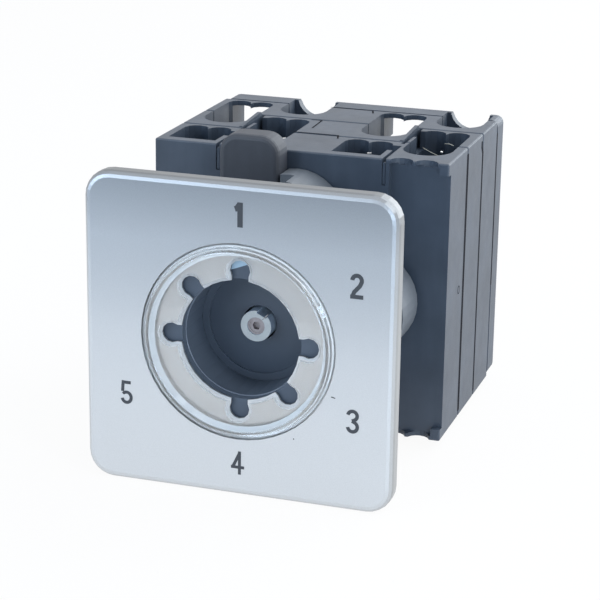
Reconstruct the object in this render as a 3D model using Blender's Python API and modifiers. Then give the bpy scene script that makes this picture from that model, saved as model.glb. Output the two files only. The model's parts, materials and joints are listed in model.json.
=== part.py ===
"""Rotary cam switch: a legend plate with a clear ring for the handle, a latch, and three contact cells.

Units are metres. X is to the right, Y runs from the front plate to the rear, Z is up, and the shaft lies
along Y. Every piece hangs under one empty, which sits on the shaft axis in the plane of the front
plate's rear edge. A depth below is a distance behind that plane, so the plate's face has a negative one.
A clock angle is in degrees, clockwise from the top as seen from the front.
"""
import math

import bmesh
import bpy
from mathutils import Matrix

MM = 0.001

# Fits
GAP = 0.3 * MM  # between pieces that rest on each other
RUN = 0.1 * MM  # radial play of a journal, and play of the latch and the cams under their followers

# Front plate: silver legend plate, the clear ring that guides the handle, and the base behind them
PLATE_SIDE = 48.0 * MM
PLATE_CORNER = 4.0 * MM
PLATE_DEPTH = 2.6 * MM
PLATE_EDGE = 1.0 * MM
PLATE_SHEET = 1.1 * MM
PLATE_RIM = 1.0 * MM
RING_RADIUS = 14.8 * MM
RING_PROUD = 0.4 * MM
RING_CREST = 0.5 * MM
DISH_RADIUS = 13.6 * MM
DISH_SLOPE = 0.5 * MM
DISH_DEPTH = 0.4 * MM
RING_WEB = 0.5 * MM
PAN_THICK = 0.4 * MM
STAR_RADIUS = 9.2 * MM
STAR_NOTCH_REACH = 12.2 * MM
STAR_NOTCH_RADIUS = 1.55 * MM
STAR_NECK = 1.3 * MM
STAR_MARGIN = 0.45 * MM  # how far the clear ring's opening stands back from the silver plate's
STAR_CLOCKS = (0, 90, 135, 180, 270, 315)
BASE_WEB = 2.3 * MM
NECK_RADIUS = 10.9 * MM
NECK_BORE = 9.3 * MM
PANEL_GASKET = 1.0 * MM
GASKET_RADIUS = 19.0 * MM
NUT_RADIUS = 15.5 * MM
NUT_LENGTH = 5.5 * MM
NUT_SETBACK = 2.4 * MM
NUT_SLOTS = 8

# Latch housing behind the panel
LATCH_FRONT = 16.5 * MM
LATCH_WALL = 1.2 * MM
LOBE_TIP = 19.8 * MM
LOBE_RADIUS = 7.8 * MM
STOP_THICK = 1.6 * MM
STOP_HUB = 6.5 * MM
STOP_REACH = 9.6 * MM
STOP_ANGLE = 24.0
SWEEP = 240.0
STAR_WHEEL_THICK = 4.2 * MM
STAR_WHEEL_MEAN = 9.0 * MM
LATCH_LIFT = 1.0 * MM
POSITION_STEP = 60.0
LATCH_NOSE = 2.0 * MM
LATCH_PLUNGER_LENGTH = 5.0 * MM
LATCH_PLUNGER_HALF = 2.5 * MM
LATCH_SPRING_ROOM = 3.6 * MM

# Locking slide at the top left of the latch housing
SLIDE_WIDTH = 9.8 * MM
SLIDE_CENTRE = -6.7 * MM
SLIDE_THICK = 4.2 * MM
SLIDE_TOP = 25.4 * MM
SLIDE_FOOT = 12.5 * MM
SLIDE_OPEN = 17.8 * MM
SLIDE_RELIEF = 2.3 * MM
SLIDE_CORNER = 3.0 * MM
SLIDE_EDGE = 0.8 * MM

# Body of cells
BODY_FRONT = 25.2 * MM
BODY_WIDTH = 48.0 * MM
BODY_HEIGHT = 45.0 * MM
FRONT_WALL = 1.9 * MM
CELL_PITCH = 10.3 * MM
CELLS = 3
END_PLATE = 4.8 * MM
SLAB_EDGE = 0.25 * MM
CELL_WEB = 1.6 * MM
POCKET_WALL = 2.6 * MM
POCKET_HALF_HEIGHT = 11.0 * MM
INNER_WALL = 4.65 * MM
OUTER_WALL = 1.55 * MM
SUB_WALL_HALF = 1.0 * MM
WELL_SETBACK = 1.2 * MM
WELL_FLOOR = 12.6 * MM
CHANNEL_FLOOR = 16.6 * MM
CHANNEL_END = 1.1 * MM
BRIDGE_THICK = 0.8 * MM
SCOOP_RADIUS = 3.4 * MM
SCOOP_DEPTH = 2.8 * MM
SCOOP_WALL = 1.6 * MM
SCOOP_FLOOR = 18.6 * MM
END_CORNER = 1.2 * MM
END_EDGE = 0.7 * MM
FRONT_RECESS = 1.3 * MM
FRONT_LIP = 0.7 * MM
CORNER_TAB = 1.9 * MM
RIB_GROOVE = 0.6 * MM
RIB_GROOVE_DEPTH = 3.0 * MM
RIB_SHIFT = 0.15 * MM
RIB_LEAD = 1.6 * MM
RIB_THICK = 0.6 * MM
RIB_RISE = 0.65 * MM
RIB_NOSE = 0.5 * MM
BAR_REACH = 3.8 * MM
FRONT_BAR = 6.1 * MM
FRONT_GROOVE_LENGTH = 4.2 * MM
BOLT_RADIUS = 1.5 * MM
BOLT_OFFSET = 1.7 * MM
BOLT_HEIGHT = 16.6 * MM
BOLT_HEAD_RADIUS = 2.8 * MM
BOLT_HEAD = 2.0 * MM

# Shaft and what turns with it
SHAFT_FRONT = 5.7 * MM
SHAFT_RADIUS = 2.4 * MM
JOURNAL_RADIUS = 4.7 * MM
SHAFT_SQUARE = 6.4 * MM
REAR_JOURNAL_RADIUS = 3.1 * MM
REAR_JOURNAL = 3.0 * MM
KEY_WIDTH = 1.7 * MM
KEY_DEPTH = 0.5 * MM
KEY_LENGTH = 6.0 * MM
KEY_CLOCK = 26.0
SHAFT_SCREW_RADIUS = 1.1 * MM
SHAFT_SCREW_LENGTH = 5.0 * MM
DISC_SETBACK = 1.8 * MM
DISC_THICK = 2.2 * MM
DISC_CONE = 0.5 * MM
CAM_RADIUS = 10.2 * MM
CAM_THICK = 5.6 * MM
CAM_NOTCH_ANGLE = 44.0

# Contact sets
CONTACT_TRAVEL = 1.5 * MM
PUSHER_HALF_WIDTH = 3.2 * MM
PUSHER_HALF_HEIGHT = 2.6 * MM
PUSHER_BACK = 0.9 * MM
BRIDGE_BAR = 1.0 * MM
BRIDGE_HALF_LENGTH = 8.3 * MM
BRIDGE_HALF_WIDTH = 2.0 * MM
RIVET_RADIUS = 1.2 * MM
RIVET_HEIGHT = 0.5 * MM
RIVET_AT = 6.6 * MM
STRIP_AT = 12.4 * MM
STRIP_THICK = 0.7 * MM
STRIP_HALF_WIDTH = 2.6 * MM
STRIP_FOOT = 5.3 * MM
TAB_LEVEL = 13.9 * MM
TAB_THICK = 0.8 * MM
TAB_REACH = 2.5 * MM
SCREW_HEAD_RADIUS = 2.7 * MM
SCREW_HEAD = 2.0 * MM
SCREW_RADIUS = 1.5 * MM
SCREW_SLOT = 0.8 * MM
COIL_WIRE = 0.25 * MM
COIL_RADIUS = 1.75 * MM
COIL_TURNS = 3.5
COIL_STEPS = 9

# Worked out from the above
PLATE_FACE = -PLATE_DEPTH
RING_FACE = PLATE_FACE - RING_PROUD
SHEET_BACK = PLATE_FACE + PLATE_SHEET
DISH_FLOOR = PLATE_FACE + DISH_DEPTH
RING_BACK = DISH_FLOOR + RING_WEB
PAN_RADIUS = RING_RADIUS + GAP
PAN_FACE = RING_BACK + GAP
PAN_BACK = PAN_FACE + PAN_THICK
BASE_SIDE = PLATE_SIDE - 2 * (PLATE_RIM + GAP)
BASE_CORNER = PLATE_CORNER - PLATE_RIM - GAP
BASE_FACE = SHEET_BACK + GAP
BASE_WEB_FACE = PAN_BACK + GAP
BASE_BACK = BASE_WEB_FACE + BASE_WEB
GASKET_FACE = BASE_BACK + GAP
GASKET_BACK = GASKET_FACE + PANEL_GASKET
NECK_BACK = LATCH_FRONT - GAP
NUT_BACK = LATCH_FRONT - NUT_SETBACK
NUT_FACE = NUT_BACK - NUT_LENGTH
LATCH_BACK = BODY_FRONT - GAP
STOP_FACE = LATCH_FRONT + LATCH_WALL + GAP
STOP_BACK = STOP_FACE + STOP_THICK
WHEEL_FACE = STOP_BACK + GAP
WHEEL_BACK = WHEEL_FACE + STAR_WHEEL_THICK
WHEEL_TIP = STAR_WHEEL_MEAN + LATCH_LIFT / 2
CHAMBER_RADIUS = WHEEL_TIP + 2 * GAP
PLUNGER_TIP = WHEEL_TIP + RUN
PLUNGER_BACK = PLUNGER_TIP + LATCH_PLUNGER_LENGTH
SPRING_SEAT = PLUNGER_BACK + LATCH_SPRING_ROOM
HALF_WIDTH = BODY_WIDTH / 2
HALF_HEIGHT = BODY_HEIGHT / 2
FIRST_STAGE = BODY_FRONT + FRONT_WALL
BODY_END = FIRST_STAGE + CELLS * CELL_PITCH
REAR_FACE = BODY_END + END_PLATE
POCKET_HALF_WIDTH = HALF_WIDTH - POCKET_WALL
WELL_HALF = (HALF_WIDTH - INNER_WALL - OUTER_WALL) / 4 - SUB_WALL_HALF / 2
INNER_SUB = INNER_WALL + WELL_HALF
OUTER_SUB = HALF_WIDTH - OUTER_WALL - WELL_HALF
WELL_CENTRE = CELL_PITCH / 2 + WELL_SETBACK
SUB_WALL = (INNER_SUB + OUTER_SUB) / 2
GUIDE_RADIUS = WELL_HALF / 2
RIB_FLOOR = HALF_HEIGHT - RIB_GROOVE_DEPTH
PUSHER_TIP = CAM_RADIUS + RUN
STRIP_FACE = STRIP_AT + STRIP_THICK
CLOSED_FACE = STRIP_FACE + RIVET_HEIGHT
BRIDGE_FACE = CLOSED_FACE + CONTACT_TRAVEL + RUN + RIVET_HEIGHT
BRIDGE_BACK = BRIDGE_FACE + BRIDGE_BAR
PUSHER_END = BRIDGE_BACK + GAP + PUSHER_BACK
TAB_TOP = TAB_LEVEL + TAB_THICK
SHAFT_STEP = LATCH_FRONT - 2 * GAP
SQUARE_START = LATCH_FRONT + LATCH_WALL
SQUARE_END = BODY_END + GAP
SHAFT_END = SQUARE_END + REAR_JOURNAL
DISC_FACE = SHAFT_FRONT + DISC_SETBACK
DISC_BACK = DISC_FACE + DISC_THICK


def clear_scene():
    for old in list(bpy.data.objects):
        bpy.data.objects.remove(old, do_unlink=True)


def new_collection(name):
    collection = bpy.data.collections.new(name)
    bpy.context.scene.collection.children.link(collection)
    return collection


clear_scene()
PARTS = new_collection("cam_switch")
CUTTERS = new_collection("cutters")
FRAME = bpy.data.objects.new("switch_frame", None)
FRAME.location = (0, -(RING_FACE + REAR_FACE) / 2, PLATE_SIDE / 2)
PARTS.objects.link(FRAME)


def material(name, colour, roughness, metallic=0.0, alpha=1.0):
    mat = bpy.data.materials.new(name)
    mat.use_nodes = True
    shader = mat.node_tree.nodes["Principled BSDF"]
    shader.inputs["Base Color"].default_value = (*colour, 1.0)
    shader.inputs["Roughness"].default_value = roughness
    shader.inputs["Metallic"].default_value = metallic
    shader.inputs["Alpha"].default_value = alpha
    return mat


CLEAR = material("clear_moulding", (0.86, 0.89, 0.92), 0.08, alpha=0.3)
SILVER = material("satin_silver", (0.66, 0.69, 0.72), 0.35, 0.6)
BLACK = material("black_moulding", (0.03, 0.033, 0.038), 0.45)
GREY = material("grey_moulding", (0.16, 0.17, 0.18), 0.5)
DARK = material("dark_moulding", (0.05, 0.055, 0.065), 0.55)
RUBBER = material("black_rubber", (0.02, 0.02, 0.02), 0.8)
IVORY = material("natural_moulding", (0.75, 0.7, 0.58), 0.4)
STEEL = material("plated_steel", (0.62, 0.62, 0.6), 0.3, 1.0)
BRASS = material("brass_strip", (0.72, 0.55, 0.28), 0.3, 1.0)
PALE = material("shaft_metal", (0.7, 0.7, 0.68), 0.4, 0.9)


def add_object(name, mesh, mat=None):
    """A part where a material is given, and a hidden cutter or addition where none is."""
    obj = bpy.data.objects.new(name, mesh)
    obj.parent = FRAME
    if mat is None:
        CUTTERS.objects.link(obj)
        obj.hide_render = True
        obj.display_type = "WIRE"
    else:
        PARTS.objects.link(obj)
        mesh.materials.append(mat)
    return obj


def mesh_of(obj):
    """The object's evaluated mesh as data of its own; the object and what it was cut with stay behind."""
    graph = bpy.context.evaluated_depsgraph_get()
    return bpy.data.meshes.new_from_object(obj.evaluated_get(graph))


def soften(mesh, angle=35):
    mesh.shade_smooth()
    mesh.set_sharp_from_angle(angle=math.radians(angle))


def to_mesh(bm, name):
    mesh = bpy.data.meshes.new(name)
    bm.to_mesh(mesh)
    bm.free()
    return mesh


def box(name, low, high, mat=None):
    bm = bmesh.new()
    bmesh.ops.create_cube(bm, size=1.0)
    middle = [(a + b) / 2 for a, b in zip(low, high)]
    size = [b - a for a, b in zip(low, high)]
    bmesh.ops.transform(bm, matrix=Matrix.Translation(middle) @ Matrix.Diagonal((*size, 1)), verts=bm.verts)
    return add_object(name, to_mesh(bm, name), mat)


def sheet_mesh(name, outlines, thickness):
    """A flat outline, with any further outlines as holes, as a welded mesh around Z = 0."""
    curve = bpy.data.curves.new(name, "CURVE")
    curve.dimensions = "2D"
    curve.fill_mode = "BOTH"
    curve.extrude = thickness / 2
    for outline in outlines:
        spline = curve.splines.new("POLY")
        spline.points.add(len(outline) - 1)
        for point, (a, b) in zip(spline.points, outline):
            point.co = (a, b, 0, 1)
        spline.use_cyclic_u = True
    obj = bpy.data.objects.new(name, curve)
    PARTS.objects.link(obj)
    mesh = mesh_of(obj)
    bpy.data.objects.remove(obj, do_unlink=True)
    bm = bmesh.new()
    bm.from_mesh(mesh)
    bmesh.ops.remove_doubles(bm, verts=bm.verts, dist=0.002 * MM)
    bmesh.ops.recalc_face_normals(bm, faces=bm.faces)
    bpy.data.meshes.remove(mesh)
    return to_mesh(bm, name)


def front_plate(name, outlines, near, far, mat=None):
    """An outline in X and Z, as seen from the front, between two depths."""
    mesh = sheet_mesh(name, outlines, far - near)
    mesh.transform(Matrix.Translation((0, (near + far) / 2, 0)) @ Matrix.Rotation(math.radians(90), 4, "X"))
    return add_object(name, mesh, mat)


def plan_plate(name, outlines, low, high, mat=None):
    """An outline in X and depth, as seen from above, between two heights."""
    mesh = sheet_mesh(name, outlines, high - low)
    mesh.transform(Matrix.Translation((0, 0, (low + high) / 2)))
    return add_object(name, mesh, mat)


def side_plate(name, outline, left, right, mat=None):
    """An outline in depth and Z, as seen from the side, between two places along X."""
    mesh = sheet_mesh(name, [outline], right - left)
    turn = Matrix(((0, 0, 1, 0), (1, 0, 0, 0), (0, 1, 0, 0), (0, 0, 0, 1)))
    mesh.transform(Matrix.Translation(((left + right) / 2, 0, 0)) @ turn)
    return add_object(name, mesh, mat)


def turned(name, profile, mat=None, steps=32, closed=False):
    """Turns (radius, depth) points about the shaft axis; the outer side runs from front to rear."""
    bm = bmesh.new()
    verts = [bm.verts.new((radius, 0, -depth)) for radius, depth in profile]
    pairs = list(zip(verts, verts[1:]))
    if closed:
        pairs.append((verts[-1], verts[0]))
    for pair in pairs:
        bm.edges.new(pair)
    obj = add_object(name, to_mesh(bm, name), mat)
    obj.rotation_euler = (math.radians(90), 0, 0)
    screw = obj.modifiers.new("turn", "SCREW")
    screw.steps = steps
    screw.render_steps = steps
    screw.use_merge_vertices = True
    screw.merge_threshold = 0.001 * MM
    return obj


def rod(name, radius, near, far, mat=None, steps=24):
    return turned(name, [(0, near), (radius, near), (radius, far), (0, far)], mat, steps)


def ring(name, inner, outer, near, far, mat=None, steps=32):
    return turned(name, [(outer, near), (outer, far), (inner, far), (inner, near)], mat, steps, closed=True)


def upright(name, radius, low, high, x, depth, mat=None, steps=16):
    """A round pin that stands along Z."""
    bm = bmesh.new()
    bmesh.ops.create_cone(bm, cap_ends=True, segments=steps, radius1=radius, radius2=radius,
                          depth=high - low)
    bmesh.ops.translate(bm, vec=(x, depth, (low + high) / 2), verts=bm.verts)
    return add_object(name, to_mesh(bm, name), mat)


def boolean(target, other, operation):
    step = target.modifiers.new(other.name, "BOOLEAN")
    step.operation = operation
    step.solver = "EXACT"
    step.object = other


def cut(target, *others):
    for other in others:
        boolean(target, other, "DIFFERENCE")


def join(target, *others):
    for other in others:
        boolean(target, other, "UNION")


def bevel(obj, width, segments=2):
    edge = obj.modifiers.new("edges", "BEVEL")
    edge.width = width
    edge.segments = segments
    edge.limit_method = "ANGLE"
    edge.angle_limit = math.radians(40)
    return edge


def arc(centre, radius, start, end, steps):
    """Points on an arc between two angles in degrees, both ends included."""
    turns = [math.radians(start + (end - start) * i / steps) for i in range(steps + 1)]
    return [(centre[0] + radius * math.cos(t), centre[1] + radius * math.sin(t)) for t in turns]


def rounded_square(side, corner, steps=6):
    reach = side / 2 - corner
    points = []
    for turn, (sx, sz) in zip((0, 90, 180, 270), ((1, 1), (-1, 1), (-1, -1), (1, -1))):
        points += arc((sx * reach, sz * reach), corner, turn, turn + 90, steps)
    return points


def circle(radius, steps=32, centre=(0, 0)):
    return arc(centre, radius, 0, 360 - 360 / steps, steps - 1)


def square(side):
    half = side / 2
    return [(half, half), (-half, half), (-half, -half), (half, -half)]


def clock_to_angle(clock):
    return 90 - clock


def star_outline(grow=0.0):
    """The handle's opening: a circle with round-ended notches at the star's clock angles."""
    radius = STAR_RADIUS + grow
    end_radius = STAR_NOTCH_RADIUS + grow
    end_centre = STAR_NOTCH_REACH - STAR_NOTCH_RADIUS
    neck = STAR_NECK + grow
    mouth = math.degrees(math.asin(neck / radius))
    throat = 180 - math.degrees(math.asin(neck / end_radius))
    angles = sorted(clock_to_angle(c) % 360 for c in STAR_CLOCKS)
    points = []
    for this, following in zip(angles, angles[1:] + [angles[0] + 360]):
        turn = math.radians(this)
        centre = (end_centre * math.cos(turn), end_centre * math.sin(turn))
        points += arc(centre, end_radius, this - throat, this + throat, 8)
        span = following - this - 2 * mouth
        points += arc((0, 0), radius, this + mouth, following - mouth, max(2, round(span / 11)))
    return points


def make_clear_ring():
    """A clear ring with a raised crest and a dished web, which holds the star-shaped opening."""
    ring_piece = turned("clear_ring", [(0, RING_FACE), (RING_RADIUS - RING_CREST, RING_FACE),
                                       (RING_RADIUS - RING_CREST / 3, RING_FACE + RING_PROUD / 3),
                                       (RING_RADIUS, PLATE_FACE), (RING_RADIUS, RING_BACK), (0, RING_BACK)],
                        CLEAR, steps=48)
    hollow = turned("ring_dish", [(0, RING_FACE - PLATE_DEPTH), (DISH_RADIUS, RING_FACE - PLATE_DEPTH),
                                  (DISH_RADIUS, RING_FACE), (DISH_RADIUS - DISH_SLOPE, DISH_FLOOR),
                                  (0, DISH_FLOOR)], steps=48)
    star = front_plate("ring_star", [star_outline(STAR_MARGIN)], 2 * PLATE_FACE, RING_BACK + PLATE_DEPTH)
    cut(ring_piece, hollow, star)


def round_face_edge(mesh, face_depth, width):
    """Rounds the outer edge of a plate's face at a depth."""
    bm = bmesh.new()
    bm.from_mesh(mesh)
    near = GAP / 10
    flat = [v for v in bm.verts if abs(v.co.y - face_depth) < near]
    rim = [e for e in bm.edges if all(v in flat for v in e.verts)
           and any(abs(f.normal.y) < 0.5 for f in e.link_faces)]
    bmesh.ops.bevel(bm, geom=rim, offset=width, segments=3, profile=0.5, affect="EDGES")
    bm.to_mesh(mesh)
    bm.free()


def make_legend_plate():
    """The silver plate: a shallow shell with a pan behind the clear ring."""
    legend = front_plate("legend_plate", [rounded_square(PLATE_SIDE, PLATE_CORNER)], PLATE_FACE, 0, SILVER)
    round_face_edge(legend.data, PLATE_FACE, PLATE_EDGE)
    tray = front_plate("legend_tray", [rounded_square(PLATE_SIDE - 2 * PLATE_RIM, PLATE_CORNER - PLATE_RIM)],
                       SHEET_BACK, PLATE_DEPTH)
    pan = rod("legend_pan", PAN_RADIUS + PAN_THICK, PLATE_FACE + PLATE_SHEET / 2, PAN_BACK, steps=48)
    hollow = rod("legend_hollow", PAN_RADIUS, 2 * PLATE_FACE, PAN_FACE, steps=48)
    star = front_plate("legend_star", [star_outline()], 2 * PLATE_FACE, PAN_BACK + PLATE_DEPTH)
    cut(legend, tray)
    join(legend, pan)
    cut(legend, hollow, star)


def make_mounting_base():
    """The base plate with the neck that passes through the panel."""
    base = front_plate("mounting_base", [rounded_square(BASE_SIDE, BASE_CORNER)], BASE_FACE, BASE_BACK,
                       BLACK)
    counterbore = rod("base_counterbore", PAN_RADIUS + PAN_THICK + GAP, BASE_FACE - PLATE_DEPTH,
                      BASE_WEB_FACE, steps=48)
    neck = rod("base_neck", NECK_RADIUS, BASE_WEB_FACE + BASE_WEB / 2, NECK_BACK, steps=32)
    bore = rod("base_bore", NECK_BORE, BASE_FACE - PLATE_DEPTH, NECK_BACK + PLATE_DEPTH, steps=32)
    cut(base, counterbore)
    join(base, neck)
    cut(base, bore)


def make_panel_pieces():
    ring("panel_gasket", NECK_RADIUS + GAP, GASKET_RADIUS, GASKET_FACE, GASKET_BACK, RUBBER, steps=32)
    nut = ring("ring_nut", NECK_RADIUS + GAP, NUT_RADIUS, NUT_FACE, NUT_BACK, DARK, steps=32)
    for number in range(NUT_SLOTS):
        slot = box(f"nut_slot_{number}", (-NUT_LENGTH / 5, NUT_FACE - GAP, NUT_RADIUS - NUT_LENGTH / 4),
                   (NUT_LENGTH / 5, NUT_BACK + GAP, NUT_RADIUS * 1.2))
        slot.rotation_euler = (0, math.radians(360 * (number + 0.5) / NUT_SLOTS), 0)
        cut(nut, slot)


def latch_outline():
    """A square set on its corner with large round corners: one lobe each way."""
    points = []
    for turn in (0, 90, 180, 270):
        away = LOBE_TIP - LOBE_RADIUS
        centre = (away * math.cos(math.radians(turn)), away * math.sin(math.radians(turn)))
        points += arc(centre, LOBE_RADIUS, turn - 45, turn + 45, 8)
    return points


def stop_room():
    """Where the stop finger swings: its sweep at full reach, and only the hub in the blocked sector."""
    play = math.degrees(GAP / STOP_REACH)
    half = (SWEEP + STOP_ANGLE) / 2 + play
    outer = arc((0, 0), CHAMBER_RADIUS, 90 - half, 90 + half, 24)
    inner = arc((0, 0), STOP_HUB + GAP, 90 + half, 450 - half, 8)
    return outer + inner


def make_latch_housing():
    housing = front_plate("latch_housing", [latch_outline()], LATCH_FRONT, LATCH_BACK, GREY)
    open_end = LATCH_BACK + LATCH_WALL
    journal = rod("latch_journal", JOURNAL_RADIUS + RUN, LATCH_FRONT - LATCH_WALL, open_end, steps=32)
    stop = front_plate("latch_stop_room", [stop_room()], LATCH_FRONT + LATCH_WALL, open_end)
    chamber = rod("latch_chamber", CHAMBER_RADIUS, STOP_BACK + GAP / 2, open_end, steps=36)
    cut(housing, journal, stop, chamber)
    for side in (-1, 1):
        ends = sorted((0.0, side * (SPRING_SEAT + GAP)))
        tunnel = box(f"latch_tunnel_{side}", (ends[0], WHEEL_FACE - GAP, -LATCH_PLUNGER_HALF - GAP),
                     (ends[1], open_end, LATCH_PLUNGER_HALF + GAP))
        bolt = rod(f"latch_bolt_hole_{side}", BOLT_RADIUS + GAP, STOP_FACE, open_end, steps=16)
        bolt.location = (side * BOLT_OFFSET, 0, side * BOLT_HEIGHT)
        cut(housing, tunnel, bolt)
    half = SLIDE_WIDTH / 2 + GAP
    seat = box("latch_slide_seat", (SLIDE_CENTRE - half, LATCH_BACK - SLIDE_THICK - GAP, SLIDE_FOOT - GAP),
               (SLIDE_CENTRE + half, open_end, SLIDE_TOP))
    gap = box("latch_slide_gap", (SLIDE_CENTRE - half, LATCH_FRONT - LATCH_WALL, SLIDE_OPEN),
              (SLIDE_CENTRE + half + SLIDE_RELIEF, LATCH_BACK - SLIDE_THICK, SLIDE_TOP))
    cut(housing, seat, gap)


def make_lock_slide():
    """The thumb lug that stands above the body's top edge; it slides up to free the body."""
    half = SLIDE_WIDTH / 2
    top = SLIDE_TOP - SLIDE_CORNER
    outline = [(SLIDE_CENTRE - half, SLIDE_FOOT), (SLIDE_CENTRE + half, SLIDE_FOOT)]
    outline += arc((SLIDE_CENTRE + half - SLIDE_CORNER, top), SLIDE_CORNER, 0, 90, 6)
    outline += arc((SLIDE_CENTRE - half + SLIDE_CORNER, top), SLIDE_CORNER, 90, 180, 6)
    slide = front_plate("lock_slide", [outline], LATCH_BACK - SLIDE_THICK, LATCH_BACK, DARK)
    round_face_edge(slide.data, LATCH_BACK - SLIDE_THICK, SLIDE_EDGE)


def make_shaft():
    shaft = turned("shaft", [(0, SHAFT_FRONT), (SHAFT_RADIUS, SHAFT_FRONT), (SHAFT_RADIUS, SHAFT_STEP),
                             (JOURNAL_RADIUS, SHAFT_STEP), (JOURNAL_RADIUS, SQUARE_START), (0, SQUARE_START)],
                   PALE, steps=32)
    overlap = LATCH_WALL / 2
    core = front_plate("shaft_core", [square(SHAFT_SQUARE)], SQUARE_START - overlap, SQUARE_END)
    rear = rod("shaft_rear", REAR_JOURNAL_RADIUS, SQUARE_END - overlap, SHAFT_END, steps=24)
    key = box("shaft_key", (-KEY_WIDTH / 2, SHAFT_FRONT - KEY_DEPTH, SHAFT_RADIUS - KEY_DEPTH),
              (KEY_WIDTH / 2, SHAFT_FRONT + KEY_LENGTH, SHAFT_RADIUS * 2))
    key.rotation_euler = (0, math.radians(KEY_CLOCK), 0)
    bore = rod("shaft_bore", SHAFT_SCREW_RADIUS + GAP, SHAFT_FRONT - KEY_DEPTH,
               SHAFT_FRONT + SHAFT_SCREW_LENGTH + 2 * GAP, steps=16)
    join(shaft, core, rear)
    cut(shaft, key, bore)


def make_shaft_screw():
    screw = rod("shaft_screw", SHAFT_SCREW_RADIUS, SHAFT_FRONT + GAP, SHAFT_FRONT + GAP + SHAFT_SCREW_LENGTH,
                STEEL, steps=16)
    socket = front_plate("shaft_screw_socket", [circle(SHAFT_SCREW_RADIUS * 0.6, 6)], SHAFT_FRONT - GAP,
                         SHAFT_FRONT + SHAFT_SCREW_RADIUS)
    cut(screw, socket)


def make_drive_disc():
    """The disc that the handle drives, turning in the neck's bore."""
    inner = SHAFT_RADIUS + GAP
    outer = NECK_BORE - 2 * GAP
    turned("drive_disc", [(inner, DISC_FACE), (outer - DISC_CONE, DISC_FACE + DISC_CONE),
                          (outer, DISC_FACE + 2 * DISC_CONE), (outer, DISC_BACK), (inner, DISC_BACK)],
           BLACK, steps=40, closed=True)


def make_stop_disc():
    """A hub with one finger, at the start of its sweep in position 1."""
    start = clock_to_angle(-SWEEP / 2)
    half = STOP_ANGLE / 2
    finger = arc((0, 0), STOP_REACH, start - half, start + half, 3)
    hub = arc((0, 0), STOP_HUB, start + half, start + 360 - half, 24)
    front_plate("stop_disc", [finger + hub, square(SHAFT_SQUARE + 2 * GAP)], STOP_FACE, STOP_BACK, STEEL)


def star_wheel_outline():
    """A wave with a valley for each position, one of them towards each plunger."""
    valleys = round(360 / POSITION_STEP)
    steps = 12 * valleys
    points = []
    for i in range(steps):
        turn = 2 * math.pi * i / steps
        radius = STAR_WHEEL_MEAN - LATCH_LIFT / 2 * math.cos(valleys * turn)
        points.append((radius * math.cos(turn), radius * math.sin(turn)))
    return points


def make_latch_mechanism():
    front_plate("star_wheel", [star_wheel_outline(), square(SHAFT_SQUARE + 2 * GAP)], WHEEL_FACE, WHEEL_BACK,
                IVORY)
    flank = PLUNGER_TIP + LATCH_NOSE
    half = LATCH_PLUNGER_HALF
    outline = [(PLUNGER_BACK, -half), (PLUNGER_BACK, half), (flank, half)]
    outline += arc((flank, 0), LATCH_NOSE, 90, 270, 8)
    outline += [(flank, -half)]
    for side, label in ((-1, "left"), (1, "right")):
        facing = [(side * x, z) for x, z in outline]
        front_plate(f"detent_plunger_{label}", [facing], WHEEL_FACE, WHEEL_BACK, IVORY)
        spring = coil_mesh(f"detent_spring_{label}", SPRING_SEAT - PLUNGER_BACK - GAP, COIL_RADIUS * 0.8)
        place_coil(spring, side, PLUNGER_BACK + GAP, (WHEEL_FACE + WHEEL_BACK) / 2, f"detent_spring_{label}")


def coil_mesh(name, length, radius):
    """A spring's wire along +X from the origin, with ends that lie flat."""
    count = round(COIL_TURNS * COIL_STEPS) + 1
    curve = bpy.data.curves.new(name, "CURVE")
    curve.dimensions = "3D"
    curve.bevel_depth = COIL_WIRE
    curve.bevel_resolution = 1
    curve.use_fill_caps = True
    spline = curve.splines.new("POLY")
    spline.points.add(count - 1)
    for i, point in enumerate(spline.points):
        share = i / (count - 1)
        turn = 2 * math.pi * COIL_TURNS * share
        along = COIL_WIRE + (length - 2 * COIL_WIRE) * share
        point.co = (along, radius * math.cos(turn), radius * math.sin(turn), 1)
    obj = bpy.data.objects.new(name, curve)
    PARTS.objects.link(obj)
    mesh = mesh_of(obj)
    bpy.data.objects.remove(obj, do_unlink=True)
    bm = bmesh.new()
    bm.from_mesh(mesh)
    bmesh.ops.remove_doubles(bm, verts=bm.verts, dist=0.001 * MM)
    bmesh.ops.recalc_face_normals(bm, faces=bm.faces)
    bpy.data.meshes.remove(mesh)
    return to_mesh(bm, name)


def place_coil(mesh, side, start, depth, name):
    """Lays a coil along X on one side of the shaft, from a distance outwards."""
    mesh.transform(Matrix.Diagonal((side, 1, 1, 1)))
    if side < 0:
        mesh.flip_normals()
    soften(mesh, 60)
    spring = add_object(name, mesh, STEEL)
    spring.location = (side * start, depth, 0)


def stage_start(stage):
    """Depth where a stage's own share of its cell begins; the first cell has a front wall before it."""
    return FIRST_STAGE + (stage - 1) * CELL_PITCH


def own_subs(stage):
    """X of a stage's two terminal columns: odd stages take the right-hand places, even ones the left."""
    hand = 1 if stage % 2 else -1
    return (-hand * INNER_SUB, hand * OUTER_SUB)


def free_subs(stage):
    return tuple(-x for x in own_subs(stage))


def well_outline(x, start):
    """A terminal's well in plan: round at the front, open at the rear seam."""
    rear = start + CELL_PITCH + GAP
    front = arc((x, start + WELL_CENTRE), WELL_HALF, 180, 360, 10)
    return front + [(x + WELL_HALF, rear), (x - WELL_HALF, rear)]


def channel_outline(x, front, start):
    """The well's run through the next cell: its rear edge has two round wire guides."""
    edge = channel_edge(start)
    points = [(x - WELL_HALF, front), (x + WELL_HALF, front)]
    points += arc((x + GUIDE_RADIUS, edge), GUIDE_RADIUS, 0, 180, 6)
    points += arc((x - GUIDE_RADIUS, edge), GUIDE_RADIUS, 0, 180, 6)[1:]
    return points


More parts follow.
